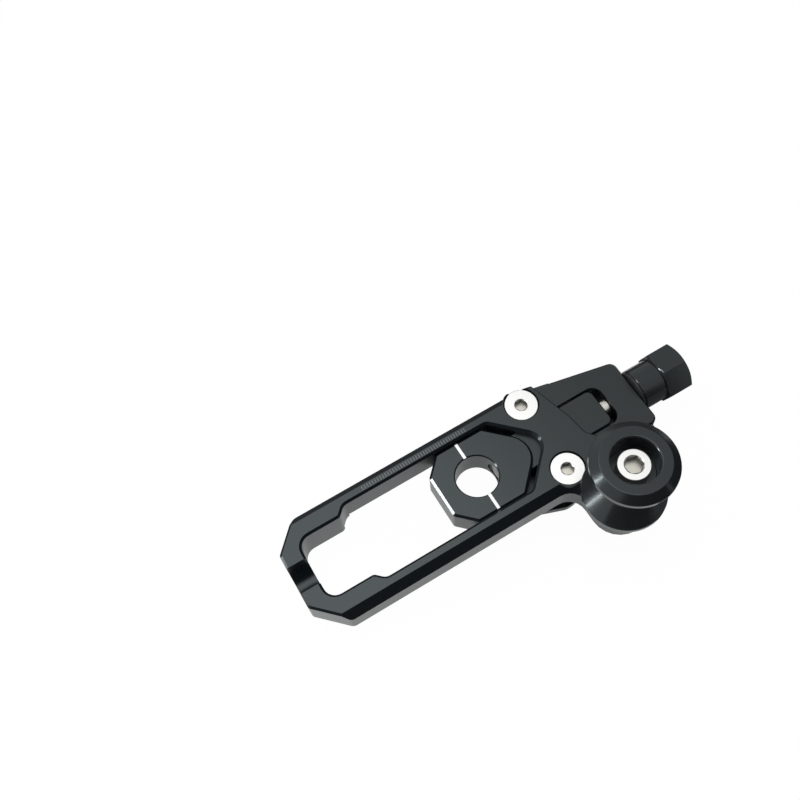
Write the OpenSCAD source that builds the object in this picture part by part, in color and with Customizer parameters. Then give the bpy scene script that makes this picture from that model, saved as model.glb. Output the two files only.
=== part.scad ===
// Motorcycle chain adjuster: milled frame, sliding axle block with tail, turning adjuster, clamped back plate and stand spool.
// Millimetres. X runs along the swingarm towards the knob, Y across it, Z out of the wheel side.
// The origin is the axle bore's axis at the frame's back face.

/* [Frame] */
// Thickness of the frame's front part
frame_t = 18; // [14:0.5:22]
// Half width over the two rails
rail_y = 30; // [28:0.5:33]
// Left end of the frame
left_x = -104.5; // [-115:0.5:-102]
// Rear face of the frame
rear_x = 96; // [94:0.5:100]
// Half width of the flat left end
left_flat_y = 15; // [12:0.5:17]
// Rear corner on the scale side
rear_far_y = 17.5; // [17:0.5:22]
// Edge of the rear body on the spool side
rear_near_y = -22; // [-23:0.5:-20]
// How much lower the rear body's face is
rear_step = 4.5; // [3.5:0.5:5]
// Width of the rails' outer bevel
rail_bevel_w = 4.2; // [2:0.1:5]
// Depth of the rails' outer bevel
rail_bevel_h = 5.1; // [3:0.1:7]
// Small bevel on the frame's other top edges
edge_bevel = 1.2; // [0.4:0.1:1.5]
// Small bevel on the frame's back edges
back_bevel = 1; // [0.3:0.1:1.2]

/* [Slot] */
// Half width of the guide slot
slot_y = 21.35; // [21:0.05:22]
// Half width of the slot's narrow end
slot_narrow_y = 16.9; // [15:0.1:18]
// Left end of the slot
slot_left_x = -93.6; // [-98:0.1:-90]
// Start of the slanted step between narrow and wide
slot_step_x = -69.5; // [-72:0.1:-67]
// Point where the slot's two slanted walls would meet
slot_tip_x = 40.2; // [39:0.1:41]
// Bevel around the slot's top edge
slot_bevel = 1.25; // [0.5:0.05:1.5]
// Depth of the recess behind the slot
recess_h = 2.2; // [2:0.1:4]
// Width of the recess beyond the slot's wall
recess_w = 2.95; // [2.5:0.05:3.5]
// Half width of the tail's channel
channel_y = 11.7; // [11.5:0.1:12]
// Thickness of the rear wall behind the tail's channel
rear_wall_t = 15.4; // [14:0.1:17]
// Roof height of the channel
channel_z = 13.8; // [13.6:0.05:14]
// Half width of the notch in the left wall
notch_r = 7.3; // [5:0.1:8]
// Wall left under the notch
notch_floor = 1.5; // [1:0.1:4]
// Height of the lip behind the slot's narrow end
lip_h = 3.4; // [1:0.1:5]
// Wall of that lip
lip_w = 2.5; // [1.5:0.1:3]
// Floor left behind the channel's rear end
ledge_h = 1.4; // [1:0.1:2]

/* [Scale] */
// First tick of the engraved scale
scale_x = -52.5; // [-54:0.5:-50]
// Ticks on the scale
scale_count = 41; // [21:1:41]
// Width of one tick
tick_w = 0.5; // [0.3:0.05:0.7]
// Length of one tick
tick_l = 2.4; // [1.5:0.1:2.6]
// Depth of the ticks and of the index lines
engrave_h = 0.4; // [0.2:0.05:0.6]

/* [Axle block] */
// Half width of the axle block
block_y = 21; // [20.5:0.05:21]
// Thickness of the axle block
block_t = 16; // [14:0.5:17]
// Left face of the axle block
block_left_x = -21; // [-23:0.5:-19]
// Point where the block's two slanted sides would meet
block_tip_x = 36.5; // [35:0.1:37]
// Size of the block's left corner bevels
block_corner = 9.3; // [6:0.1:10]
// Bevel on the block's top edges
block_bevel = 1.2; // [0.5:0.1:1.5]
// Radius of the axle bore
bore_r = 11; // [8:0.25:12.5]
// Width of the index lines
index_w = 1.6; // [0.8:0.1:2]
// Flange thickness in the back recess
flange_h = 1.9; // [1.5:0.1:2]
// Flange width beyond the block's side
flange_w = 3; // [2:0.1:3]
// Half width of the tail
tail_y = 10.8; // [9:0.1:11.2]
// Open length between the tail's end and the rear wall
tail_gap = 4.4; // [4:0.1:8]
// Thickness of the tail
tail_t = 13.5; // [12.5:0.1:13.5]

/* [Adjuster] */
// Radius of the adjuster bolt
bolt_r = 5; // [4:0.25:5]
// Pitch of the bolt's thread
bolt_pitch = 1.5; // [1:0.25:2]
// Distance of the bolt's tip behind the axle bore
bolt_inset = 0.2; // [0.1:0.1:5]
// Radius of the bolt's journal in the rear wall
journal_r = 4; // [3:0.25:4.25]
// Radius of the knob's round part
knob_r = 11.5; // [9:0.5:13]
// Length of the knob's round part
knob_round_l = 13.3; // [10:0.1:18]
// Length of the knob's hexagon
knob_hex_l = 14.5; // [10:0.5:20]
// Hexagon size across flats
knob_hex_af = 25; // [19:1:27]
// Thickness of the thrust washer
washer_t = 1.2; // [1:0.1:3]
// Turn of the hexagon about the bolt
knob_turn = 18; // [0:1:59]

/* [Clamp] */
// Position of the plate screws along the frame
plate_screw_x = 40.2; // [40:0.1:41]
// Distance of the plate screws from the centre line
plate_screw_y = 20.85; // [20.8:0.05:21.5]
// Radius of the plate screws' heads
flat_head_r = 8.75; // [7:0.25:8.75]
// Radius of the plate screws' shanks
plate_screw_r = 5; // [3:0.5:5]
// Radius of the spacer sleeves
sleeve_r = 7; // [6.5:0.25:8]
// Length of the spacer sleeves
sleeve_l = 15; // [8:0.5:25]
// Thickness of the back plate
plate_t = 5; // [4:0.5:8]
// Front edge of the back plate
plate_left_x = 21; // [12:0.5:24]

/* [Spool] */
// Spool axis along the frame
spool_x = 54.9; // [54.5:0.1:55.5]
// Spool axis across the frame
spool_y = -46.3; // [-50:0.1:-45]
// Radius of the arm's round end
arm_r = 15.3; // [14:0.1:16]
// Height of the spool
spool_h = 43.1; // [30:0.1:50]
// Radius of the spool's rims
spool_r = 21; // [17:0.5:23]
// Radius of the spool's neck
neck_r = 12.5; // [12.4:0.1:13.5]
// Radius of the counterbore in the spool
spool_well_r = 11.6; // [9:0.1:12]
// Depth of the counterbore in the spool
spool_well_h = 15.1; // [12:0.1:15.5]
// Radius of the spool screw's head
cap_head_r = 8; // [7:0.5:8.5]

/* [Hidden] */
fine = 64;
mid = 48;
arc_n = 6;
eps = 0.01;
over = 2;
run_gap = 0.05;
bolted_gap = 0.3;
rear_z = frame_t - rear_step;
channel_x = rear_x - rear_wall_t;
tail_x = channel_x - tail_gap;
bolt_x = bore_r + bolt_inset;
axis_z = tail_t / 2;
lug_r = 9.7;
edge_rear = 0.8;
rear_bevel_x = 60;
rail_bevel_y = -43;
arm_fillet = 9.5;
edge_step = 0.6;
reach = 1;
slot_edge_y = slot_y - slot_narrow_y;
arm_left_x = spool_x - arm_r;
arm_right_x = spool_x + arm_r;
arm_end_y = spool_y - arm_r;
washer_x = rear_x;
knob_gap = 0.2;
knob_x = washer_x + washer_t + knob_gap;
hex_x = knob_x + knob_round_l;
knob_end_x = hex_x + knob_hex_l;
knob_bore_l = 12;
grub_x = knob_x + 6.4;
grub_r = 2.5;
sleeve_bore_r = plate_screw_r + bolted_gap;
head_rim = 0.8;
head_z = frame_t - 1;
head_gap = 0.5;
cone_h = flat_head_r - plate_screw_r;
plate_z = -sleeve_l - plate_t;
plate_lug_r = 8.6;
plate_bevel = 0.8;
lock_inset = 8;
lock_x = rear_x - lock_inset;
lock_r = 3;
lock_af = 10;
lock_head_h = 4;
lock_washer_t = 1.2;
lock_washer_r = 6;
index_z = block_t - engrave_h;
cap_head_h = 10;
cap_bevel = 0.4;
spool_z = frame_t;
spool_well_z = spool_z + spool_h - spool_well_h;
cap_top_z = spool_well_z + cap_head_h;
spool_screw_r = 5;
spool_thread_z = 2;

// Unit vector
function unit(v) = v / norm(v);

// Outward normal of the edge from a to b of a path that runs anticlockwise
function edge_normal(a, b) = [unit(b - a)[1], -unit(b - a)[0]];

// Sign of the turn at corner b
function turn(a, b, c) = sign((b[0] - a[0]) * (c[1] - b[1]) - (b[1] - a[1]) * (c[0] - b[0]));

// Corner moved outward by d, with its radius changed to match
function moved(a, b, c, d) = let(
    n1 = edge_normal([a[0], a[1]], [b[0], b[1]]),
    n2 = edge_normal([b[0], b[1]], [c[0], c[1]]),
    p = [b[0], b[1]] + d * (n1 + n2) / (1 + n1 * n2))
    [p[0], p[1], b[2] == 0 ? 0 : max(0.05, b[2] + d * turn(a, b, c))];

// All corners moved outward by d
function grown(path, d) = let(n = len(path))
    [for (i = [0 : n - 1]) moved(path[(i + n - 1) % n], path[i], path[(i + 1) % n], d)];

// Points of one rounded corner
function corner(a, b, c) = let(
    p = [b[0], b[1]],
    u = unit([a[0], a[1]] - p),
    w = unit([c[0], c[1]] - p),
    half = acos(max(-1, min(1, u * w))) / 2,
    o = p + unit(u + w) * b[2] / sin(half),
    s = p + u * b[2] / tan(half) - o,
    t = turn(a, b, c),
    a0 = atan2(s[1], s[0]),
    sweep = t * (180 - 2 * half))
    b[2] == 0 ? [p] : [for (i = [0 : arc_n]) o + b[2] * [cos(a0 + sweep * i / arc_n), sin(a0 + sweep * i / arc_n)]];

// Points of the whole rounded path
function rounded(path) = let(n = len(path))
    [for (i = [0 : n - 1]) for (q = corner(path[(i + n - 1) % n], path[i], path[(i + 1) % n])) q];

// Straight prism on a rounded path
module prism(path, z0, z1) {
    translate([0, 0, z0])
        linear_extrude(z1 - z0)
            polygon(rounded(path));
}

// Closed ring with a three-cornered section, each corner given as [outward move, z]
module ring(path, a, b, c) {
    loops = [for (l = [a, b, c]) [for (q = rounded(grown(path, l[0]))) [q[0], q[1], l[1]]]];
    n = len(loops[0]);
    quads = [for (k = [0 : 2]) for (i = [0 : n - 1])
        [k * n + i, k * n + (i + 1) % n, (k + 1) % 3 * n + (i + 1) % n, (k + 1) % 3 * n + i]];
    polyhedron(concat(loops[0], loops[1], loops[2]), quads, convexity = 10);
}

// Cutter for a bevel of size b on the top edge, at height z, of a solid with this outline
module top_bevel(path, z, b) {
    ring(path, [-b - reach, z + reach], [reach, z + reach], [reach, z - b - reach]);
}

// Cutter for a bevel on the bottom edge of a solid
module bottom_bevel(path, z, b) {
    ring(path, [-b - reach, z - reach], [reach, z + b + reach], [reach, z - reach]);
}

// Cutter for a bevel on the top edge of a pocket with this outline
module pocket_bevel(path, z, b) {
    ring(path, [b + reach, z + reach], [-reach, z - b - reach], [-reach, z + reach]);
}

// Bar along X from x0 to x1
module bar_x(x0, x1, r, facets = mid) {
    translate([x0, 0, 0])
        rotate([0, 90, 0])
            cylinder(h = x1 - x0, r = r, $fn = facets);
}

// Hexagonal bar along Z, size across flats
module hex_bar(af, h) {
    cylinder(h = h, r = af / 2 / cos(30), $fn = 6);
}

frame_path = [
    [left_x, -left_flat_y, 3],
    [left_x + (rail_y - left_flat_y), -rail_y, 4],
    [arm_left_x, -rail_y, arm_fillet],
    [arm_left_x, arm_end_y, arm_r - 0.3],
    [arm_right_x, arm_end_y, arm_r - 0.3],
    [arm_right_x, rear_near_y, 8.5],
    [rear_x, rear_near_y, 4],
    [rear_x, rear_far_y, 4],
    [plate_screw_x - 2.7, rail_y, 5],
    [left_x + (rail_y - left_flat_y), rail_y, 4],
    [left_x, left_flat_y, 3]];

slot_path = [
    [slot_left_x, -slot_narrow_y, 6.3],
    [slot_step_x, -slot_narrow_y, 3],
    [slot_step_x + slot_edge_y, -slot_y, 5],
    [slot_tip_x - slot_y, -slot_y, 4],
    [slot_tip_x, 0, 8],
    [slot_tip_x - slot_y, slot_y, 4],
    [slot_step_x + slot_edge_y, slot_y, 5],
    [slot_step_x, slot_narrow_y, 3],
    [slot_left_x, slot_narrow_y, 6.3]];

recess_y = slot_y + recess_w;
recess_tip_x = slot_tip_x + recess_w * sqrt(2);
recess_left_x = slot_step_x + slot_edge_y + 1.5;
recess_path = [
    [recess_left_x, -recess_y, 1],
    [recess_tip_x - recess_y, -recess_y, 5],
    [recess_tip_x, 0, 9],
    [recess_tip_x - recess_y, recess_y, 5],
    [recess_left_x, recess_y, 1]];

channel_left_x = slot_tip_x - 12;
channel_path = [
    [channel_left_x, -channel_y, 0],
    [channel_x, -channel_y, 6],
    [channel_x, channel_y, 6],
    [channel_left_x, channel_y, 0]];

ledge_x = tail_x + 0.4;
ledge_path = [
    [channel_left_x, -channel_y, 0],
    [ledge_x, -channel_y, 5],
    [ledge_x, channel_y, 5],
    [channel_left_x, channel_y, 0]];

lip_y = slot_narrow_y + lip_w;
lip_x = slot_step_x + 1;
lip_path = [
    [slot_left_x - lip_w, -lip_y, 8],
    [lip_x, -lip_y, 1],
    [lip_x, lip_y, 1],
    [slot_left_x - lip_w, lip_y, 8]];

step_path = [
    [120, -24.5, 0],
    [120, 40, 0],
    [48.3, 34, 0],
    [57.2, 2.5, 9],
    [58.9, -9.5, 7],
    [67.5, -19.2, 8],
    [70.6, -30, 0],
    [100, -30, 0]];

block_corner_x = block_left_x + block_corner;
block_path = [
    [block_left_x, -(block_y - block_corner), 2],
    [block_corner_x, -block_y, 2],
    [block_tip_x - block_y, -block_y, 2],
    [block_tip_x, 0, 13],
    [block_tip_x - block_y, block_y, 2],
    [block_corner_x, block_y, 2],
    [block_left_x, block_y - block_corner, 2]];

flange_left_x = block_corner_x + 1;
flange_y = block_y + flange_w;
flange_grown = grown(block_path, flange_w);
flange_path = [
    [flange_left_x, -flange_y, 1],
    flange_grown[2],
    flange_grown[3],
    flange_grown[4],
    [flange_left_x, flange_y, 1]];

tail_bevel = 0.6;
tail_left_x = 14;
tail_path = [
    [tail_left_x, -tail_y, 0],
    [tail_x, -tail_y, 3.5],
    [tail_x, tail_y, 3.5],
    [tail_left_x, tail_y, 0]];

plate_path = [
    [plate_left_x, -23.5, 3.5],
    [plate_screw_x - 3, -plate_screw_y - plate_lug_r, 8],
    [plate_screw_x + plate_lug_r, -plate_screw_y - plate_lug_r, plate_lug_r - 0.3],
    [plate_screw_x + plate_lug_r, plate_screw_y + plate_lug_r, plate_lug_r - 0.3],
    [plate_screw_x - 3, plate_screw_y + plate_lug_r, 8],
    [plate_left_x, 23.5, 3.5]];

// Section of the rail bevel: u runs outward from the edge, v is the height
function bevel_section(edge, side) = [
    [edge - side * rail_bevel_w, frame_t],
    [edge + side * reach, frame_t - rail_bevel_h * (1 + reach / rail_bevel_w)],
    [edge + side * reach, frame_t + reach],
    [edge - side * rail_bevel_w, frame_t + reach]];

// Cutter for a rail's bevel from the left end to x1
module rail_wedge(side, x1) {
    translate([left_x - over, 0, 0])
        rotate([90, 0, 90])
            linear_extrude(x1 - left_x + over)
                polygon(bevel_section(side * rail_y, side));
}

// The near rail's bevel turns with the fillet and runs on along the arm
module near_wedge() {
    fillet_x = arm_left_x - arm_fillet;
    fillet_y = -rail_y - arm_fillet;
    rail_wedge(-1, fillet_x);
    translate([fillet_x, fillet_y, 0])
        rotate_extrude(angle = 90, $fn = fine)
            polygon(bevel_section(arm_fillet, -1));
    translate([0, fillet_y, 0])
        rotate([90, 0, 0])
            linear_extrude(fillet_y - rail_bevel_y)
                polygon(bevel_section(arm_left_x, -1));
}

// Cutter for one rail's outer bevel, which runs out at the screw lug
module rail_bevel(side) {
    difference() {
        if (side > 0) {
            rail_wedge(1, plate_screw_x);
        } else {
            near_wedge();
        }
        translate([plate_screw_x, side * plate_screw_y, 0])
            cylinder(h = frame_t + over, r = lug_r, $fn = fine);
    }
}

// Countersunk seat of a plate screw
module screw_seat(side) {
    rim_z = head_z - head_rim;
    translate([plate_screw_x, side * plate_screw_y, 0])
        rotate_extrude($fn = mid)
            polygon([
                [0, -over],
                [sleeve_bore_r, -over],
                [sleeve_bore_r, rim_z - cone_h - (head_gap - (sleeve_bore_r - plate_screw_r))],
                [flat_head_r + head_gap, rim_z],
                [flat_head_r + head_gap, frame_t + over],
                [0, frame_t + over]]);
}

// Points of the rear body's outline at corner i, moved outward by d, cut short at both ends
function rear_points(i, d) = let(
    path = grown(frame_path, d),
    a = path[i - 1],
    b = path[i],
    c = path[i + 1],
    p = [path[7][0], path[7][1]],
    q = [path[8][0], path[8][1]],
    stop = p + (rear_bevel_x - p[0]) / (q[0] - p[0]) * (q - p))
    i == 5 ? [for (k = [arc_n / 2 : arc_n]) corner(a, b, c)[k]] : i == 8 ? [stop] : corner(a, b, c);

// Cutter that bevels the rear body's top edge, from the arm round to the step
module rear_edge_cutter() {
    inner = [for (i = [5 : 8]) for (q = rear_points(i, -edge_rear - reach)) q];
    outer = [for (i = [5 : 8]) for (q = rear_points(i, reach)) q];
    n = len(inner);
    points = concat(
        [for (q = inner) [q[0], q[1], rear_z + reach]],
        [for (q = outer) [q[0], q[1], rear_z - edge_rear - reach]],
        [for (q = outer) [q[0], q[1], rear_z + reach]]);
    walls = [for (k = [0 : 2]) for (i = [0 : n - 2])
        [k * n + i, k * n + i + 1, (k + 1) % 3 * n + i + 1, (k + 1) % 3 * n + i]];
    polyhedron(points, concat([[0, n, 2 * n]], walls, [[3 * n - 1, 2 * n - 1, n - 1]]), convexity = 6);
}

// One billet: end wall with notch, two rails, bridge, rear body and spool arm
module frame() {
    color("#26292c")
    difference() {
        union() {
            prism(frame_path, 0, frame_t);
            prism(lip_path, -lip_h, frame_t / 2);
        }
        top_bevel(frame_path, frame_t, edge_bevel);
        bottom_bevel(frame_path, 0, back_bevel);
        prism(step_path, rear_z, frame_t + over);
        pocket_bevel(step_path, frame_t, edge_step);
        rear_edge_cutter();
        prism(slot_path, -lip_h - over, frame_t + over);
        pocket_bevel(slot_path, frame_t, slot_bevel);
        prism(recess_path, -over, recess_h);
        prism(channel_path, ledge_h, channel_z);
        prism(ledge_path, -over, ledge_h + over);
        rail_bevel(1);
        rail_bevel(-1);
        screw_seat(1);
        screw_seat(-1);
        notch();
        scale_ticks();
        translate([0, 0, axis_z])
            bar_x(channel_x - over, rear_x + over, journal_r + run_gap);
        translate([lock_x, 0, axis_z])
            rotate([90, 0, 0])
                cylinder(h = -rear_near_y + over, r = lock_r + run_gap, $fn = mid);
        translate([spool_x, spool_y, spool_thread_z])
            cylinder(h = frame_t, r = spool_screw_r + run_gap, $fn = mid);
    }
}

// Round-bottomed notch through the left wall
module notch() {
    notch_z = notch_floor + notch_r;
    translate([left_x - over, 0, 0])
        rotate([90, 0, 90])
            linear_extrude(slot_left_x - left_x + 2 * over)
                polygon(concat(
                    [[-notch_r, frame_t + over]],
                    [for (i = [0 : 16]) [-notch_r * cos(i * 180 / 16), notch_z - notch_r * sin(i * 180 / 16)]],
                    [[notch_r, frame_t + over]]));
}

// Engraved ticks on the far rail, one turn of the adjuster apart
module scale_ticks() {
    tick_y = slot_y + slot_bevel + 0.3;
    for (i = [0 : scale_count - 1])
        translate([scale_x + i * bolt_pitch - tick_w / 2, tick_y, frame_t - engrave_h])
            cube([tick_w, tick_l, over]);
}

// Sliding block with axle bore, back flange and threaded tail
module axle_block() {
    color("#2c2f32")
    difference() {
        union() {
            difference() {
                prism(block_path, 0, block_t);
                top_bevel(block_path, block_t, block_bevel);
            }
            prism(flange_path, 0, flange_h);
            difference() {
                prism(tail_path, 0, tail_t);
                top_bevel(tail_path, tail_t, tail_bevel);
            }
        }
        translate([0, 0, -over])
            cylinder(h = block_t + 2 * over, r = bore_r, $fn = fine);
        translate([0, 0, block_t - 0.6])
            cylinder(h = 0.6 + eps, r1 = bore_r, r2 = bore_r + 0.6 + eps, $fn = fine);
        for (side = [-1, 1])
            translate([-index_w / 2, side > 0 ? bore_r - over : -block_y - over, index_z])
                cube([index_w, block_y - bore_r + 2 * over, over]);
        translate([0, 0, axis_z])
            bar_x(bore_r - 3, tail_x + over, bolt_r + run_gap);
    }
}

// Clamp plate behind the swingarm, threaded for both plate screws
module back_plate() {
    color("#26292c")
    difference() {
        prism(plate_path, plate_z, -sleeve_l);
        bottom_bevel(plate_path, plate_z, plate_bevel);
        for (side = [-1, 1])
            translate([plate_screw_x, side * plate_screw_y, plate_z - over])
                cylinder(h = plate_t + 2 * over, r = plate_screw_r + run_gap, $fn = mid);
    }
}

// Sleeve between frame and back plate
module spacer_sleeve(side) {
    translate([plate_screw_x, side * plate_screw_y, -sleeve_l])
        difference() {
            cylinder(h = sleeve_l, r = sleeve_r, $fn = mid);
            translate([0, 0, -over])
                cylinder(h = sleeve_l + 2 * over, r = sleeve_bore_r, $fn = mid);
        }
}

module spacer_sleeve_far() {
    color("#26292c")
        spacer_sleeve(1);
}

module spacer_sleeve_near() {
    color("#26292c")
        spacer_sleeve(-1);
}

// Flat-head screw with a hexagon socket
module plate_screw(side) {
    shank_z = plate_z + 1;
    translate([plate_screw_x, side * plate_screw_y, 0])
        difference() {
            rotate_extrude($fn = mid)
                polygon([
                    [0, shank_z],
                    [plate_screw_r - 1, shank_z],
                    [plate_screw_r, shank_z + 1],
                    [plate_screw_r, head_z - head_rim - cone_h - head_gap],
                    [flat_head_r, head_z - head_rim - head_gap],
                    [flat_head_r, head_z - 0.3],
                    [flat_head_r - 0.3, head_z],
                    [0, head_z]]);
            translate([0, 0, head_z - 4])
                hex_bar(6, 4 + over);
            translate([0, 0, head_z - 0.6])
                cylinder(h = 0.6 + eps, r1 = 3, r2 = 3.6 + eps, $fn = mid);
        }
}

module plate_screw_far() {
    color("#d8d8d6")
        plate_screw(1);
}

module plate_screw_near() {
    color("#d8d8d6")
        plate_screw(-1);
}

// Turned spool with two bevelled rims and a deep counterbore
module spool() {
    rim_bevel_r = 4.2;
    rim_bevel_h = 3.5;
    rim_h = 2.5;
    cone_end = 10.5;
    top = spool_z + spool_h;
    color("#222528")
    difference() {
        translate([spool_x, spool_y, 0])
            rotate_extrude($fn = fine)
                polygon([
                    [spool_screw_r + run_gap, spool_z],
                    [spool_r - rim_bevel_r, spool_z],
                    [spool_r, spool_z + rim_bevel_h],
                    [spool_r, spool_z + rim_bevel_h + rim_h],
                    [neck_r + 1, spool_z + spool_h / 2 - cone_end / 2],
                    [neck_r, spool_z + spool_h / 2 - cone_end / 2 + 2],
                    [neck_r, top - spool_h / 2 + cone_end / 2 - 2],
                    [neck_r + 1, top - spool_h / 2 + cone_end / 2],
                    [spool_r, top - rim_bevel_h - rim_h],
                    [spool_r, top - rim_bevel_h],
                    [spool_r - rim_bevel_r, top],
                    [spool_screw_r + run_gap, top]]);
        translate([spool_x, spool_y, spool_well_z])
            cylinder(h = spool_well_h + over, r = spool_well_r, $fn = mid);
        translate([spool_x, spool_y, top - 0.5])
            cylinder(h = 0.5 + eps, r1 = spool_well_r, r2 = spool_well_r + 0.5 + eps, $fn = mid);
    }
}

// Cap screw that clamps the spool to the arm
module spool_screw() {
    color("#d8d8d6")
    translate([spool_x, spool_y, 0])
        difference() {
            rotate_extrude($fn = mid)
                polygon([
                    [0, spool_thread_z + 0.6],
                    [spool_screw_r - 0.8, spool_thread_z + 0.6],
                    [spool_screw_r, spool_thread_z + 1.4],
                    [spool_screw_r, spool_well_z],
                    [cap_head_r, spool_well_z],
                    [cap_head_r, cap_top_z - cap_bevel],
                    [cap_head_r - cap_bevel, cap_top_z],
                    [0, cap_top_z]]);
            translate([0, 0, cap_top_z - 5])
                hex_bar(8, 5 + over);
            translate([0, 0, cap_top_z - 0.8])
                cylinder(h = 0.8 + eps, r1 = 4, r2 = 4.8 + eps, $fn = mid);
        }
}

// Stainless adjuster bolt: threaded length, then a journal that turns in the rear wall
module adjuster_bolt() {
    shoulder_x = channel_x - 0.2;
    color("#c9c6bd")
    translate([0, 0, axis_z])
        rotate([0, 90, 0])
            rotate_extrude($fn = mid)
                polygon([
                    [0, bolt_x],
                    [bolt_r - 0.8, bolt_x],
                    [bolt_r, bolt_x + 0.8],
                    [bolt_r, shoulder_x - 0.3],
                    [bolt_r - 0.3, shoulder_x],
                    [journal_r, shoulder_x],
                    [journal_r, knob_x + knob_bore_l - 0.3],
                    [0, knob_x + knob_bore_l - 0.3]]);
}

// Knob: round part, then a hexagon bevelled at both ends
module adjuster_knob() {
    hex_r = knob_hex_af / 2 / cos(30);
    hex_bevel_r = 1.9;
    hex_bevel_l = 1.1;
    color("#26292c")
    translate([0, 0, axis_z])
        rotate([knob_turn, 0, 0])
            rotate([0, 90, 0])
                difference() {
                    union() {
                        rotate_extrude($fn = fine)
                            polygon([
                                [0, knob_x],
                                [knob_r - 0.6, knob_x],
                                [knob_r, knob_x + 0.6],
                                [knob_r, hex_x + 1],
                                [0, hex_x + 1]]);
                        intersection() {
                            translate([0, 0, hex_x])
                                hex_bar(knob_hex_af, knob_hex_l);
                            rotate_extrude($fn = fine)
                                polygon([
                                    [0, hex_x],
                                    [hex_r - hex_bevel_r, hex_x],
                                    [hex_r + eps, hex_x + hex_bevel_l],
                                    [hex_r + eps, knob_end_x - hex_bevel_l],
                                    [hex_r - hex_bevel_r, knob_end_x],
                                    [0, knob_end_x]]);
                        }
                    }
                    translate([0, 0, knob_x - over])
                        cylinder(h = knob_bore_l + over, r = journal_r + run_gap, $fn = mid);
                    translate([0, 0, grub_x])
                        rotate([0, 90, 0])
                            cylinder(h = knob_r + over, r = grub_r + run_gap, $fn = mid);
                }
}

// Thrust washer between rear wall and knob
module thrust_washer() {
    color("#1c1e20")
    translate([washer_x, 0, axis_z])
        rotate([0, 90, 0])
            difference() {
                cylinder(h = washer_t, r = knob_r - 0.2, $fn = fine);
                translate([0, 0, -over])
                    cylinder(h = washer_t + 2 * over, r = journal_r + run_gap, $fn = mid);
            }
}

// Grub screw that fixes the knob on the journal
module knob_grub_screw() {
    grub_in = journal_r;
    grub_out = knob_r - 0.6;
    color("#8c8c8a")
    translate([0, 0, axis_z])
        rotate([knob_turn, 0, 0])
            rotate([0, 90, 0])
                translate([0, 0, grub_x])
                    rotate([0, 90, 0])
                        difference() {
                            translate([0, 0, grub_in])
                                cylinder(h = grub_out - grub_in, r = grub_r, $fn = mid);
                            translate([0, 0, grub_out - 2])
                                hex_bar(2.5, 2 + over);
                        }
}

// Lock screw that bears on the journal
module lock_screw() {
    head_out = -rear_near_y + lock_washer_t;
    color("#d8d8d6")
    translate([lock_x, 0, axis_z])
        rotate([90, 0, 0]) {
            translate([0, 0, journal_r + 0.3])
                cylinder(h = head_out - journal_r - 0.3 + eps, r = lock_r, $fn = mid);
            intersection() {
                translate([0, 0, head_out])
                    hex_bar(lock_af, lock_head_h);
                rotate_extrude($fn = mid)
                    polygon([
                        [0, head_out],
                        [lock_af / 2 + 1, head_out],
                        [lock_af / 2 + 1, head_out + lock_head_h - 0.6],
                        [lock_af / 2 - 0.1, head_out + lock_head_h],
                        [0, head_out + lock_head_h]]);
            }
        }
}

// Plain washer under the lock screw's head
module lock_washer() {
    color("#c4c4c2")
    translate([lock_x, rear_near_y, axis_z])
        rotate([90, 0, 0])
            difference() {
                cylinder(h = lock_washer_t, r = lock_washer_r, $fn = mid);
                translate([0, 0, -over])
                    cylinder(h = lock_washer_t + 2 * over, r = lock_r + run_gap, $fn = mid);
            }
}

frame();
axle_block();
back_plate();
spacer_sleeve_far();
spacer_sleeve_near();
plate_screw_far();
plate_screw_near();
spool();
spool_screw();
adjuster_bolt();
adjuster_knob();
thrust_washer();
knob_grub_screw();
lock_screw();
lock_washer();
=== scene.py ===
# %% [markdown]
# Motorcycle chain adjuster. The part's solids are the fixed frame of this scene. They come from the
# machinist's drawing, so their edges are sharp and their threads are plain bars. Here each visible
# piece gets the fine edge breaks, threads, paint and finishes that the real one shows.

# %% Load the solids
import math

import bpy
from mathutils import Matrix, Vector


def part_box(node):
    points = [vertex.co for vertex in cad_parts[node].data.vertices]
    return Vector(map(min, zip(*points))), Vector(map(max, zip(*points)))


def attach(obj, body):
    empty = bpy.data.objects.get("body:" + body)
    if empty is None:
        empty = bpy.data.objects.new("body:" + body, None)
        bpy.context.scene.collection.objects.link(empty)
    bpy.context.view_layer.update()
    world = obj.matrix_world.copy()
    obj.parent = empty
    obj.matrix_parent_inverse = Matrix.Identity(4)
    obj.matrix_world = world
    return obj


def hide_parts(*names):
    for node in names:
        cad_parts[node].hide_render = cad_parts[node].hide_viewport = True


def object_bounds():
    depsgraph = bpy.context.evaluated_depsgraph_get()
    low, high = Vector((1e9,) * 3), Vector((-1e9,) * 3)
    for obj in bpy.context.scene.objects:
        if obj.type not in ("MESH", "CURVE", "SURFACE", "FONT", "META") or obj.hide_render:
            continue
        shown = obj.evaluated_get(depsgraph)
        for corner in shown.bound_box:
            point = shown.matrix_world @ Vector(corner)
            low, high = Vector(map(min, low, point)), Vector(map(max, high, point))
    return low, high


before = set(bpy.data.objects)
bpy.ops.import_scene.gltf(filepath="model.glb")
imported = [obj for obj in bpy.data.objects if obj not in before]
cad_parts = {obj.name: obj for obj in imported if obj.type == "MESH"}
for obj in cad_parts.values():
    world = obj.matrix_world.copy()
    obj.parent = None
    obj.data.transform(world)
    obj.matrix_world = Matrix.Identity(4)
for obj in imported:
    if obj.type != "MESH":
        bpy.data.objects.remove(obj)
cad_low, cad_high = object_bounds()
MM = 0.001
print("solids", len(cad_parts), "size in mm", [round(v / MM, 1) for v in cad_high - cad_low])

# %% [markdown]
# The camera stands where the photographer's did, worked out from the straight edges and circles of
# the object. Two of its directions are given in the part's own axes, right and up in the picture, and
# the third follows from them. Setting them as a matrix avoids any guess about the order of three
# angles.

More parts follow.
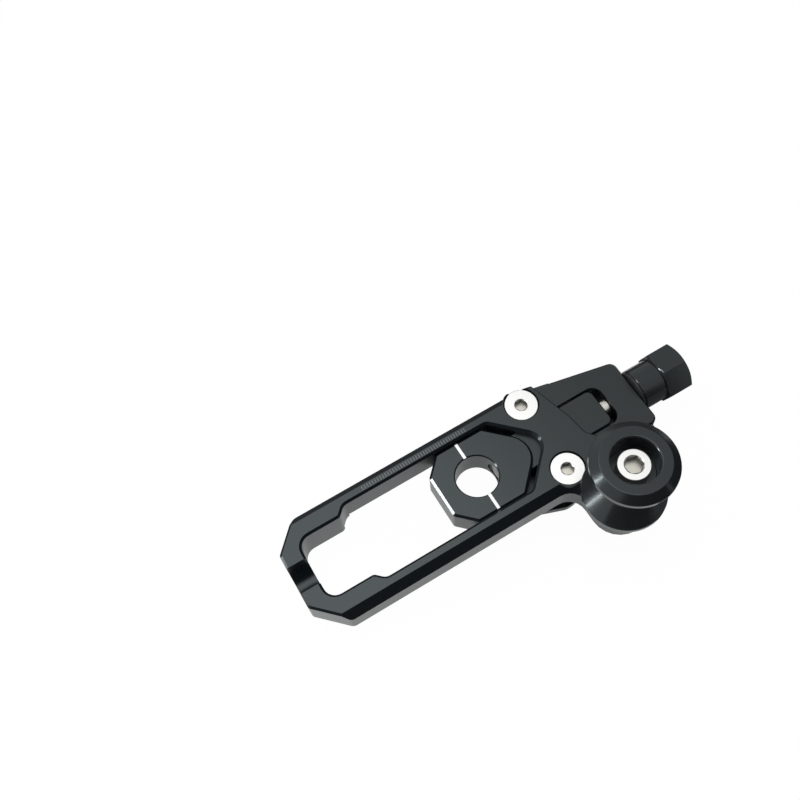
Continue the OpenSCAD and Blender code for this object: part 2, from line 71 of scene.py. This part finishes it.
# %% Camera
CAMERA_PLACE = Vector((-102.32, -153.40, 479.65)) * MM
PICTURE_RIGHT = Vector((0.85961, -0.50723, -0.06142))
PICTURE_UP = Vector((0.47962, 0.75961, 0.43925))
FOCAL_LENGTH = 44.52

lens = bpy.data.cameras.new("photo_camera")
lens.lens = FOCAL_LENGTH
lens.sensor_width = 36.0
lens.clip_start = 0.01
lens.clip_end = 20.0
camera = bpy.data.objects.new("photo_camera", lens)
bpy.context.scene.collection.objects.link(camera)
right = PICTURE_RIGHT.normalized()
up = (PICTURE_UP - right * PICTURE_UP.dot(right)).normalized()
back = right.cross(up)
camera.matrix_world = Matrix.Translation(CAMERA_PLACE) @ Matrix((right, up, back)).transposed().to_4x4()
bpy.context.scene.camera = camera
print("camera height above the part in mm", round((CAMERA_PLACE.z - cad_high.z) / MM))

# %% [markdown]
# Black anodising is a thin glassy oxide, dyed black, on blasted aluminium. It has almost no colour of
# its own, and what the eye sees is the soft reflection of the surroundings, which grows towards
# grazing views. So the colour is nearly black and the look comes from roughness and refractive index.
# A very fine grain keeps the large flat faces from looking like plastic. The sloping faces are cut
# last with a sharp tool and aren't blasted, so they are smoother and blacker, and mirror a lamp as
# a crisp white line.

# %% Helper for plain materials
COOL_SHEEN = (0.88, 1.0, 1.02, 1.0)


def finish(name, colour, metal, rough, ior=1.5):
    material = bpy.data.materials.new(name)
    material.use_nodes = True
    shader = material.node_tree.nodes["Principled BSDF"]
    shader.inputs["Base Color"].default_value = (*colour, 1.0)
    shader.inputs["Metallic"].default_value = metal
    shader.inputs["Roughness"].default_value = rough
    shader.inputs["IOR"].default_value = ior
    if metal == 0.0:
        shader.inputs["Specular Tint"].default_value = COOL_SHEEN
    print("material", name)
    return material


# %% Helper for a fine grain
GRAIN_DETAIL = 2.0
GRAIN_STRENGTH = 0.25


def add_grain(material, size, height):
    nodes = material.node_tree.nodes
    links = material.node_tree.links
    place = nodes.new("ShaderNodeTexCoord")
    noise = nodes.new("ShaderNodeTexNoise")
    noise.inputs["Scale"].default_value = 1.0 / size
    noise.inputs["Detail"].default_value = GRAIN_DETAIL
    bump = nodes.new("ShaderNodeBump")
    bump.inputs["Strength"].default_value = GRAIN_STRENGTH
    bump.inputs["Distance"].default_value = height
    links.new(place.outputs["Object"], noise.inputs["Vector"])
    links.new(noise.outputs["Fac"], bump.inputs["Height"])
    links.new(bump.outputs["Normal"], nodes["Principled BSDF"].inputs["Normal"])
    print("grain in mm", round(size / MM, 3), "on", material.name)


# %% Finishes of this object
GRAIN_SIZE = 0.35 * MM
GRAIN_HEIGHT = 0.012 * MM
black_anodised = finish("black_anodised", (0.0055, 0.0064, 0.0074), metal=0.0, rough=0.3, ior=1.57)
add_grain(black_anodised, GRAIN_SIZE, GRAIN_HEIGHT)
edge_black = finish("edge_black", (0.0060, 0.0078, 0.0096), metal=0.0, rough=0.18, ior=1.33)
spool_anodised = finish("spool_anodised", (0.0075, 0.0084, 0.0094), metal=0.0, rough=0.2, ior=1.6)
bright_steel = finish("bright_steel", (0.87, 0.87, 0.855), metal=1.0, rough=0.34)
# Painted shade: the socket walls get a near-black colour that stands for the shade inside a socket.
painted_socket_shade = finish("painted_socket_shade", (0.03, 0.026, 0.018), metal=0.0, rough=0.4, ior=1.45)
socket_floor = finish("socket_floor", (0.62, 0.6, 0.54), metal=1.0, rough=0.3)
stainless = finish("stainless", (0.8, 0.78, 0.73), metal=1.0, rough=0.25)
# Painted shade: a dark steel that stands for the shade in the thread's root.
root_painted_shade = finish("root_painted_shade", (0.1, 0.097, 0.09), metal=1.0, rough=0.4)
cut_steel = finish("cut_steel", (0.34, 0.33, 0.31), metal=1.0, rough=0.45)
dark_steel = finish("dark_steel", (0.05, 0.05, 0.05), metal=1.0, rough=0.35)
black_washer = finish("black_washer", (0.012, 0.012, 0.013), metal=0.0, rough=0.4)
white_paint = finish("white_paint", (0.9, 0.9, 0.9), metal=0.0, rough=0.45)
scale_paint = finish("scale_paint", (0.14, 0.14, 0.145), metal=0.0, rough=0.6)

# %% [markdown]
# A machined edge is never perfectly sharp: it is broken by a fraction of a millimetre, and that tiny
# round catches the light as a thin line. A Bevel modifier does the same to a mesh. The solids come as
# loose triangles, so a copy is merged first, and flat triangles are joined into whole faces, or the
# modifier would find edges where the real surface has none. A Weighted Normal modifier then lets the
# large faces decide the shading, so they stay flat up to their rounded edges.

# %% Helper that copies a solid
ONE_POINT = 0.002 * MM
ONE_PLANE = math.radians(0.4)


def select_only(piece):
    bpy.ops.object.select_all(action="DESELECT")
    piece.select_set(True)
    bpy.context.view_layer.objects.active = piece


def merged_copy(node, name):
    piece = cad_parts[node].copy()
    piece.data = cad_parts[node].data.copy()
    piece.name = name
    piece.parent = None
    piece.matrix_world = Matrix.Identity(4)
    bpy.context.scene.collection.objects.link(piece)
    select_only(piece)
    bpy.ops.object.mode_set(mode="EDIT")
    bpy.ops.mesh.select_all(action="SELECT")
    bpy.ops.mesh.remove_doubles(threshold=ONE_POINT)
    bpy.ops.mesh.dissolve_limited(angle_limit=ONE_PLANE)
    bpy.ops.object.mode_set(mode="OBJECT")
    return piece


# %% Helper that breaks the edges of a copy
SHARP = math.radians(28)
LEAST_SLOPE = 0.25
MOST_SLOPE = 0.94


def broken_edges(node, name, body, material, width, edge=None):
    piece = merged_copy(node, name)
    bevel = piece.modifiers.new("edge_break", "BEVEL")
    bevel.width = width
    bevel.segments = 2
    bevel.limit_method = "ANGLE"
    bevel.angle_limit = SHARP
    piece.data.materials.clear()
    piece.data.materials.append(material)
    if edge:
        piece.data.materials.append(edge)
        bevel.material = 1
    bpy.ops.object.modifier_apply(modifier=bevel.name)
    if edge:
        for face in piece.data.polygons:
            if LEAST_SLOPE < face.normal.z < MOST_SLOPE:
                face.material_index = 1
    bpy.ops.object.shade_smooth_by_angle(angle=SHARP)
    flatten = piece.modifiers.new("flat_faces", "WEIGHTED_NORMAL")
    flatten.keep_sharp = True
    bpy.ops.object.modifier_apply(modifier=flatten.name)
    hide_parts(node)
    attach(piece, body)
    print(name, "faces", len(piece.data.polygons))
    return piece


# %% [markdown]
# The frame, the axle block and the clamp plate are milled from solid and anodised together. The
# frame and the block face the eye, so their sloping faces get the blacker finish.

# %% Milled pieces
MILLED_BREAK = 0.3 * MM
PLATE_BREAK = 0.25 * MM
broken_edges("frame", "milled_frame", "body", black_anodised, MILLED_BREAK, edge_black)
broken_edges("axle_block", "axle_carrier", "slider", black_anodised, MILLED_BREAK,
             edge_black)
broken_edges("back_plate", "clamp_plate", "body", black_anodised, PLATE_BREAK)

# %% [markdown]
# The spool, the sleeves, the knob and its ring are turned on a lathe. Turned faces are smoother than
# milled ones, so the spool and the knob have a lower roughness. The sleeves between the plates keep
# the finish of the milled pieces.

# %% Turned pieces
SPOOL_BREAK = 0.25 * MM
KNOB_BREAK = 0.3 * MM
SLEEVE_BREAK = 0.2 * MM
RING_BREAK = 0.15 * MM
broken_edges("spool", "stand_spool", "body", spool_anodised, SPOOL_BREAK)
broken_edges("adjuster_knob", "hexagon_knob", "adjuster", spool_anodised, KNOB_BREAK)
broken_edges("spacer_sleeve_far", "far_sleeve", "body", black_anodised, SLEEVE_BREAK)
broken_edges("spacer_sleeve_near", "near_sleeve", "body", black_anodised, SLEEVE_BREAK)
broken_edges("thrust_washer", "thrust_ring", "body", black_washer, RING_BREAK)

# %% [markdown]
# Screws are bright, apart from the small grub screw in the knob. The hexagon sockets are pressed, and
# little light gets into them, so their walls are painted near black as shade, and the floor is a
# darker, warmer steel than the polished tops. A tightened screw stops at any angle, so two of them are
# turned a little about their own axes.

# %% Screws
SCREW_BREAK = 0.15 * MM
SMALL_BREAK = 0.12 * MM
SOCKET_RADIUS = 4.7 * MM
SOCKET_TOP = 0.75 * MM
SOCKET_BOTTOM = 6.0 * MM
NEARLY_LEVEL = 0.9
FAR_SCREW_TURN = 0.0
NEAR_SCREW_TURN = 20.0
CAP_SCREW_TURN = 20.0


def bright_screw(node, name, turn):
    piece = broken_edges(node, name, "body", bright_steel, SCREW_BREAK)
    piece.data.materials.append(painted_socket_shade)
    piece.data.materials.append(socket_floor)
    low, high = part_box(node)
    centre = (low + high) / 2
    select_only(piece)
    bpy.ops.object.mode_set(mode="EDIT")
    bpy.ops.mesh.select_all(action="SELECT")
    bpy.ops.transform.rotate(value=math.radians(turn), orient_axis="Z", center_override=tuple(centre))
    bpy.ops.object.mode_set(mode="OBJECT")
    # Inside a socket the walls get the painted shade and the floor the darker steel.
    for face in piece.data.polygons:
        middle = face.center
        across = math.hypot(middle.x - centre.x, middle.y - centre.y)
        depth = high.z - middle.z
        if across < SOCKET_RADIUS and SOCKET_TOP < depth < SOCKET_BOTTOM:
            face.material_index = 2 if face.normal.z > NEARLY_LEVEL else 1


bright_screw("plate_screw_far", "far_plate_screw", FAR_SCREW_TURN)
bright_screw("plate_screw_near", "near_plate_screw", NEAR_SCREW_TURN)
bright_screw("spool_screw", "spool_cap_screw", CAP_SCREW_TURN)
broken_edges("lock_screw", "side_lock_screw", "body", bright_steel, SCREW_BREAK)
broken_edges("lock_washer", "side_washer", "body", bright_steel, SMALL_BREAK)
broken_edges("knob_grub_screw", "grub_screw", "adjuster", dark_steel, SMALL_BREAK)

# %% [markdown]
# The white index lines are paint wiped into two milled grooves. The marks of the scale are cut by
# laser and stay a dull grey. An image on the surface could show both, but it blurs in a close view, so
# each filling is a thin bar that sits in its groove just below the surface.

# %% Helper for a paint filling
def paint_bar(name, low, high):
    bpy.ops.object.select_all(action="DESELECT")
    bpy.ops.mesh.primitive_cube_add(size=1.0)
    bar = bpy.context.object
    bar.name = name
    size = Vector(high) - Vector(low)
    middle = (Vector(high) + Vector(low)) / 2
    bpy.ops.object.mode_set(mode="EDIT")
    bpy.ops.transform.resize(value=tuple(size * MM))
    bpy.ops.transform.translate(value=tuple(middle * MM))
    bpy.ops.object.mode_set(mode="OBJECT")
    return bar


# %% Index lines
BLOCK_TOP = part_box("axle_block")[1].z / MM
BORE_RADIUS = 11.0
BLOCK_HALF_WIDTH = 21.0
GROOVE_DEPTH = 0.4
PAINT_BELOW = 0.03
LINE_HALF_WIDTH = 0.8
LINE_FROM_BORE = 0.25
LINE_FROM_SIDE = 0.9
index_lines = []
for side, name in ((1, "index_line_far"), (-1, "index_line_near")):
    inner = side * (BORE_RADIUS + LINE_FROM_BORE)
    outer = side * (BLOCK_HALF_WIDTH - LINE_FROM_SIDE)
    line = paint_bar(name, (-LINE_HALF_WIDTH, min(inner, outer), BLOCK_TOP - GROOVE_DEPTH),
                     (LINE_HALF_WIDTH, max(inner, outer), BLOCK_TOP - PAINT_BELOW))
    line.data.materials.append(white_paint)
    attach(line, "slider")
    index_lines.append(line)
print("index lines", len(index_lines), "at height in mm", round(BLOCK_TOP, 1))

# %% Scale
TICK_PITCH = 1.5
TICKS = 41
FIRST_TICK = -52.5
TICK_HALF_WIDTH = 0.24
TICK_INNER_END = 22.95
TICK_OUTER_END = 25.25
FRAME_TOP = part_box("frame")[1].z / MM
tick_bars = []
for count in range(TICKS):
    x = FIRST_TICK + count * TICK_PITCH
    tick_bars.append(paint_bar("tick", (x - TICK_HALF_WIDTH, TICK_INNER_END, FRAME_TOP - GROOVE_DEPTH),
                               (x + TICK_HALF_WIDTH, TICK_OUTER_END, FRAME_TOP - PAINT_BELOW)))
bpy.ops.object.select_all(action="DESELECT")
for bar in tick_bars:
    bar.select_set(True)
bpy.context.view_layer.objects.active = tick_bars[0]
bpy.ops.object.join()
scale = bpy.context.object
scale.name = "engraved_scale"
scale.data.materials.clear()
scale.data.materials.append(scale_paint)
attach(scale, "body")
print("scale ticks", TICKS, "faces", len(scale.data.polygons))

# %% [markdown]
# A thread is one groove wound round a bar, and a cylinder with a displaced surface would only imitate
# it. So its profile, one pitch long, starts as a single point and is extruded corner by corner, and
# the Screw modifier winds it turn after turn. The bolt's core and its plain end are spun from a
# profile in the same way, with no climb. The thread's root lies in its own shade and gets a darker
# steel, and the sawn tip a duller one.

# %% Helper that winds a profile
bolt_low, bolt_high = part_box("adjuster_bolt")
AXIS_HEIGHT = (bolt_low.z + bolt_high.z) / 2 / MM
ONE_SEAM = 0.005 * MM


def wound(name, profile, turns, pitch, steps):
    bpy.ops.object.select_all(action="DESELECT")
    bpy.ops.mesh.primitive_plane_add(size=1.0)
    piece = bpy.context.object
    piece.name = name
    bpy.ops.object.mode_set(mode="EDIT")
    bpy.ops.mesh.select_mode(type="VERT")
    bpy.ops.mesh.select_all(action="SELECT")
    bpy.ops.mesh.merge(type="CENTER")
    here = Vector((profile[0][0], 0, profile[0][1])) * MM
    bpy.ops.transform.translate(value=tuple(here))
    for along, out in profile[1:]:
        there = Vector((along, 0, out)) * MM
        bpy.ops.mesh.extrude_region_move(TRANSFORM_OT_translate={"value": tuple(there - here)})
        here = there
    bpy.ops.object.mode_set(mode="OBJECT")
    screw = piece.modifiers.new("winding", "SCREW")
    screw.axis = "X"
    screw.angle = math.tau
    screw.screw_offset = pitch * MM
    screw.iterations = turns
    screw.steps = steps
    screw.render_steps = steps
    screw.use_merge_vertices = True
    screw.merge_threshold = ONE_SEAM
    bpy.ops.object.modifier_apply(modifier=screw.name)
    bpy.ops.object.mode_set(mode="EDIT")
    bpy.ops.mesh.select_all(action="SELECT")
    bpy.ops.mesh.remove_doubles(threshold=ONE_POINT)
    bpy.ops.mesh.normals_make_consistent(inside=False)
    bpy.ops.transform.translate(value=(0, 0, AXIS_HEIGHT * MM))
    bpy.ops.object.mode_set(mode="OBJECT")
    bpy.ops.object.shade_smooth_by_angle(angle=SHARP)
    print(name, "turns", turns, "faces", len(piece.data.polygons))
    return piece


# %% Sizes of the adjuster bolt
BOLT_RADIUS = (bolt_high.z - bolt_low.z) / 2 / MM
PITCH = 1.5
THREAD_START = bolt_low.x / MM
THREAD_END = 72.0
SHOULDER = 80.4
JOURNAL_RADIUS = 4.0
JOURNAL_END = bolt_high.x / MM
FLANK_FOOT = 0.2
FLANK_TOP = 0.66
ROOT_RADIUS = 4.15
CREST_RADIUS = 4.96
CORE_RADIUS = 4.2
TIP_BREAK = 0.3
RUN_OUT = 0.6
SHOULDER_BREAK = 0.4
SKIN = 0.02
print("length of the bolt in mm", round(JOURNAL_END - THREAD_START, 1))

# %% Adjuster bolt
THREAD_STEPS = 32
PLAIN_STEPS = 48
turns = int((THREAD_END - THREAD_START) / PITCH) - 1
thread_profile = [(THREAD_START, ROOT_RADIUS), (THREAD_START + FLANK_FOOT, ROOT_RADIUS),
                  (THREAD_START + FLANK_TOP, CREST_RADIUS),
                  (THREAD_START + PITCH - FLANK_TOP, CREST_RADIUS),
                  (THREAD_START + PITCH - FLANK_FOOT, ROOT_RADIUS),
                  (THREAD_START + PITCH, ROOT_RADIUS)]
plain_profile = [(THREAD_START, 0.0), (THREAD_START, CORE_RADIUS - TIP_BREAK),
                 (THREAD_START + TIP_BREAK, CORE_RADIUS), (THREAD_END - RUN_OUT, CORE_RADIUS),
                 (THREAD_END, BOLT_RADIUS - SKIN), (SHOULDER - SHOULDER_BREAK, BOLT_RADIUS - SKIN),
                 (SHOULDER, BOLT_RADIUS - SHOULDER_BREAK), (SHOULDER, JOURNAL_RADIUS - SKIN),
                 (JOURNAL_END, JOURNAL_RADIUS - SKIN), (JOURNAL_END, 0.0)]
bolt_thread = wound("bolt_thread", thread_profile, turns, PITCH, THREAD_STEPS)
bolt_core = wound("bolt_core", plain_profile, 1, 0.0, PLAIN_STEPS)

# %% Finishes and painted root shade of the adjuster bolt
ROOT_SHADE_RADIUS = 4.35
TIP_LENGTH = 0.35
ACROSS_ONLY = 0.2
for piece in (bolt_thread, bolt_core):
    piece.data.materials.append(stainless)
    piece.data.materials.append(root_painted_shade)
    piece.data.materials.append(cut_steel)
    for face in piece.data.polygons:
        along = face.center.x
        out = math.hypot(face.center.y, face.center.z - AXIS_HEIGHT * MM)
        across_axis = abs(face.normal.x) < ACROSS_ONLY
        # Faces in the thread's root get the dark steel painted as shade.
        if out < ROOT_SHADE_RADIUS * MM and along < THREAD_END * MM and across_axis:
            face.material_index = 1
        if along < (THREAD_START + TIP_LENGTH) * MM:
            face.material_index = 2
    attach(piece, "adjuster")
    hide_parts("adjuster_bolt")
    in_root = sum(face.material_index == 1 for face in piece.data.polygons)
    print(piece.name, "faces in the thread's root", in_root)

# %% [markdown]
# The tail's thread opens into the axle bore, where its first turns show round the bolt's tip. It is
# wound the same way, inside out, and the faces that would stand in the bore are deleted.

# %% Thread inside the tail
HOLE_RADIUS = 5.04
HOLE_CREST_RADIUS = 4.3
HOLE_START = 8.0
HOLE_TURNS = 9
INSIDE_BORE = 0.25
hole_profile = [(HOLE_START, HOLE_RADIUS), (HOLE_START + FLANK_FOOT, HOLE_RADIUS),
                (HOLE_START + FLANK_TOP, HOLE_CREST_RADIUS),
                (HOLE_START + PITCH - FLANK_TOP, HOLE_CREST_RADIUS),
                (HOLE_START + PITCH - FLANK_FOOT, HOLE_RADIUS), (HOLE_START + PITCH, HOLE_RADIUS)]
tail_thread = wound("tail_thread", hole_profile, HOLE_TURNS, PITCH, THREAD_STEPS)
select_only(tail_thread)
bpy.ops.object.mode_set(mode="EDIT")
bpy.ops.mesh.select_all(action="SELECT")
bpy.ops.mesh.flip_normals()
bpy.ops.mesh.select_mode(type="FACE")
bpy.ops.mesh.select_all(action="DESELECT")
bpy.ops.object.mode_set(mode="OBJECT")
for face in tail_thread.data.polygons:
    face.select = math.hypot(face.center.x, face.center.y) < (BORE_RADIUS + INSIDE_BORE) * MM
bpy.ops.object.mode_set(mode="EDIT")
bpy.ops.mesh.delete(type="FACE")
bpy.ops.object.mode_set(mode="OBJECT")
tail_thread.data.materials.append(black_anodised)
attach(tail_thread, "slider")
print("tail thread faces outside the bore", len(tail_thread.data.polygons))

# %% [markdown]
# The part lies on a plain white floor. Seen by the camera most of the floor's white is its own, so it
# stays white beside the part, and the rest is real light with a real shadow. In polished faces the
# floor is darker, because close to the part it lies in the part's shade. From beneath it is clear, so
# the part's back can be looked at.

# %% Floor
REST_HEIGHT = cad_low.z / MM
FLOOR_SIZE = 6.0
bpy.ops.object.select_all(action="DESELECT")
bpy.ops.mesh.primitive_plane_add(size=FLOOR_SIZE, location=(0, 0, REST_HEIGHT * MM))
floor = bpy.context.object
floor.name = "floor"
print("floor in metres", FLOOR_SIZE, "at height in mm", round(REST_HEIGHT, 1))

# %% White of the floor
CAMERA_WHITE = 0.97
MIRRORED_WHITE = 0.5
floor_white = finish("floor_white", (0.95, 0.95, 0.95), metal=0.0, rough=0.8)
nodes = floor_white.node_tree.nodes
links = floor_white.node_tree.links
ray = nodes.new("ShaderNodeLightPath")
seen = nodes.new("ShaderNodeMath")
seen.operation = "MULTIPLY"
seen.inputs[1].default_value = CAMERA_WHITE
mirrored = nodes.new("ShaderNodeMath")
mirrored.operation = "MULTIPLY"
mirrored.inputs[1].default_value = MIRRORED_WHITE
share = nodes.new("ShaderNodeMath")
share.operation = "MAXIMUM"
glow = nodes.new("ShaderNodeEmission")
glow.inputs["Strength"].default_value = 1.0
mix = nodes.new("ShaderNodeMixShader")
links.new(ray.outputs["Is Camera Ray"], seen.inputs[0])
links.new(ray.outputs["Is Glossy Ray"], mirrored.inputs[0])
links.new(seen.outputs["Value"], share.inputs[0])
links.new(mirrored.outputs["Value"], share.inputs[1])
links.new(share.outputs["Value"], mix.inputs["Fac"])
links.new(nodes["Principled BSDF"].outputs["BSDF"], mix.inputs[1])
links.new(glow.outputs["Emission"], mix.inputs[2])
which_side = nodes.new("ShaderNodeNewGeometry")
below = nodes.new("ShaderNodeMixShader")
clear = nodes.new("ShaderNodeBsdfTransparent")
links.new(which_side.outputs["Backfacing"], below.inputs["Fac"])
links.new(mix.outputs["Shader"], below.inputs[1])
links.new(clear.outputs["BSDF"], below.inputs[2])
links.new(below.outputs["Shader"], nodes["Material Output"].inputs["Surface"])
floor.data.materials.append(floor_white)

# %% [markdown]
# A black gloss part is lit by what it mirrors. A wide soft lamp above its left half makes the flat
# faces fade from grey to near black, and a smaller one right above it lifts the middle. A narrow
# upright lamp at the left draws the bright stroke on the spool's cones, and a small square one is
# the white line on the block's left bevel. Dark cards on the near side, at the right and on the
# floor behind keep the sloping edges black. A paler card on the floor is a painted shadow: seen only
# in polished faces, it stands for the floor's shade beside the part and dims the knob's underside.
# The surroundings are white to the camera, and the light that they give is lower. Places and sizes of
# lamps and cards are in metres, and a lamp's radiance is its brightness and not its power, so that a
# lamp can change its size and look as bright as before.

# %% World
WORLD_LEVEL = 0.62
world = bpy.data.worlds.new("studio")
bpy.context.scene.world = world
world.use_nodes = True
sky = world.node_tree.nodes["Background"]
sky.inputs["Color"].default_value = (1.0, 1.0, 1.0, 1.0)
sky_ray = world.node_tree.nodes.new("ShaderNodeLightPath")
level = world.node_tree.nodes.new("ShaderNodeMapRange")
level.inputs["To Min"].default_value = WORLD_LEVEL
level.inputs["To Max"].default_value = 1.0
world.node_tree.links.new(sky_ray.outputs["Is Camera Ray"], level.inputs["Value"])
world.node_tree.links.new(level.outputs["Result"], sky.inputs["Strength"])
print("light of the surroundings", WORLD_LEVEL)


# %% Lamps
def soft_lamp(name, place, target, width, height, radiance):
    lamp = bpy.data.lights.new(name, "AREA")
    lamp.shape = "RECTANGLE"
    lamp.size = width
    lamp.size_y = height
    lamp.energy = radiance * math.pi * width * height
    stand = bpy.data.objects.new(name, lamp)
    stand.location = place
    stand.rotation_euler = (Vector(target) - Vector(place)).to_track_quat("-Z", "Y").to_euler()
    bpy.context.scene.collection.objects.link(stand)
    print(name, "watts", round(lamp.energy, 2))


soft_lamp("overhead", place=(-0.28, 0.32, 1.1), target=(-0.28, 0.32, 0.0), width=1.1, height=0.9,
          radiance=1.3)
soft_lamp("near_fill", place=(0.0, 0.02, 1.1), target=(0.0, 0.02, 0.0), width=0.6, height=0.52,
          radiance=2.0)
soft_lamp("upright_stroke", place=(-0.682, 0.25, 0.24), target=(0.055, -0.046, 0.05), width=0.04,
          height=0.5, radiance=27.0)
soft_lamp("bevel_light", place=(-0.70, 0.222, 0.135), target=(-0.0205, 0.0, 0.0155), width=0.11,
          height=0.1, radiance=75.0)

# %% Dark cards
card_black = finish("card_black", (0.01, 0.01, 0.01), metal=0.0, rough=0.9)
card_grey = finish("card_grey", (0.06, 0.06, 0.06), metal=0.0, rough=0.9)
# Painted shadow: a pale grey that stands for the floor's shade beside the part.
card_painted_shadow = finish("card_painted_shadow", (0.18, 0.18, 0.18), metal=0.0, rough=0.9)


def dark_card(name, width, height, place, turn=(), colour=card_black):
    bpy.ops.object.select_all(action="DESELECT")
    bpy.ops.mesh.primitive_plane_add(size=1.0)
    card = bpy.context.object
    card.name = name
    bpy.ops.object.mode_set(mode="EDIT")
    bpy.ops.transform.resize(value=(width, height, 1.0))
    for axis, angle in turn:
        bpy.ops.transform.rotate(value=math.radians(angle), orient_axis=axis, center_override=(0, 0, 0))
    bpy.ops.transform.translate(value=place)
    bpy.ops.object.mode_set(mode="OBJECT")
    card.data.materials.append(colour)
    card.visible_camera = False
    card.visible_diffuse = False
    card.visible_shadow = False
    print(name, "in metres", width, "by", height)


CARD_LIFT = 0.002
CARD_HEIGHT = REST_HEIGHT * MM + CARD_LIFT
dark_card("near_card", width=0.85, height=0.34, place=(-0.175, -0.30, 0.15), turn=[("X", 90)])
dark_card("right_card", width=0.7, height=0.3, place=(0.42, -0.1, 0.13), turn=[("X", 90), ("Z", 90)])
dark_card("far_card", width=1.2, height=0.85, place=(0.05, 0.48, CARD_HEIGHT), colour=card_grey)
# This card is painted shadow on the floor, seen only in the knob's and spool's polished faces.
dark_card("knob_shadow_card", width=0.33, height=0.3, place=(0.24, -0.12, CARD_HEIGHT), colour=card_painted_shadow)

# %% Keep the picture plain
bpy.context.scene.view_settings.view_transform = "Standard"
print("view transform", bpy.context.scene.view_settings.view_transform)
